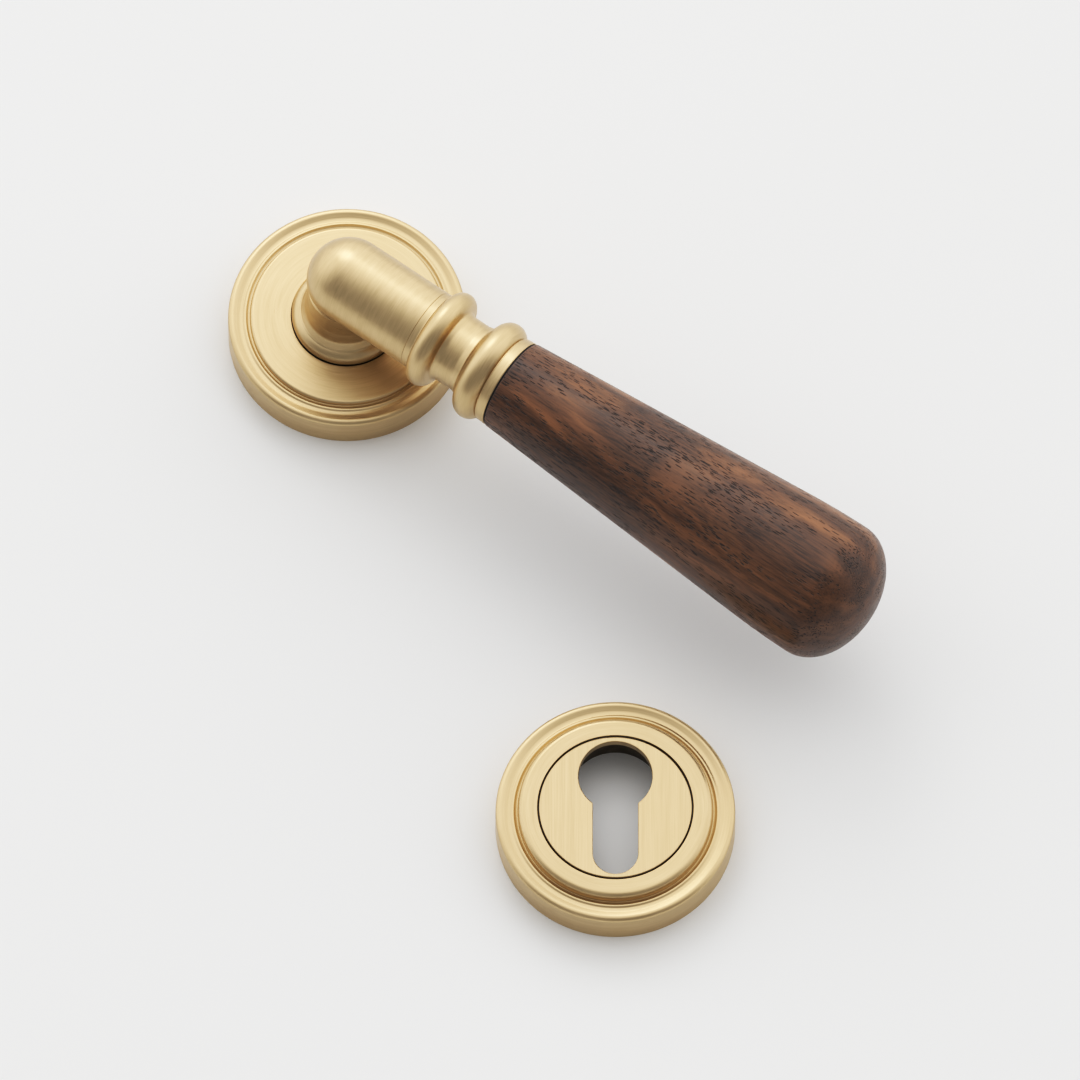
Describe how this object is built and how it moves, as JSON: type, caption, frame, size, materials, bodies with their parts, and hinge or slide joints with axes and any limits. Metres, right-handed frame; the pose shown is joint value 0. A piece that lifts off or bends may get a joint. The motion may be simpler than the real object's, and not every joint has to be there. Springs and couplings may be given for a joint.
{
  "type": "door lever and euro escutcheon set",
  "caption": "Satin brass door lever with a turned walnut grip on a round rose, and a matching round escutcheon for a euro-profile lock cylinder.",
  "frame": {"origin": "spindle's axis at the door's face", "axes": "+Z out of the door, +Y up the door, +X towards the lever's free end"},
  "size_m": [0.1543, 0.1826, 0.1006],
  "materials": {
    "brass": "satin",
    "brass_turned": "turned",
    "walnut": "satin",
    "zinc": "blackened die-cast zinc",
    "steel": "zinc plated",
    "spring_steel": "oiled",
    "nylon": "matt",
    "fibre": "matt",
    "rubber": "matt"
  },
  "bodies": {
    "fittings": {"rose_base": "zinc", "neck_bush": "nylon", "return_spring": "spring_steel", "rose_o_ring": "rubber", "fixing_posts": "steel", "escutcheon_insert": "brass", "escutcheon_base": "zinc", "escutcheon_o_ring": "rubber", "escutcheon_bolts": "steel", "insert_screws": "steel"},
    "lever": {"lever_neck": "brass", "lever_arm": "brass", "ferrule": "brass", "grip_washer": "fibre", "grip": "walnut", "grip_tang": "steel", "grip_insert": "brass_turned", "spindle": "steel", "spindle_grub_screw": "spring_steel", "drive_plate": "steel", "circlip": "spring_steel"},
    "rose_shell": {"rose_cover": "brass"},
    "escutcheon_shell": {"escutcheon_cover": "brass"}
  },
  "joints": [
    {"name": "lever_turn", "type": "hinge", "parent": "fittings", "child": "lever", "pos_m": [0, 0, 0], "axis": [0, 0, 1], "range_deg": [-40, 40], "stiffness_Nm_per_rad": 1.5, "deforming": ["return_spring"]},
    {"name": "rose_cover_slide", "type": "slide", "parent": "fittings", "child": "rose_shell", "axis": [0, 0, 1], "range_m": [0, 0.0085]},
    {"name": "escutcheon_cover_slide", "type": "slide", "parent": "fittings", "child": "escutcheon_shell", "axis": [0, 0, 1], "range_m": [0, 0.0024]}
  ]
}
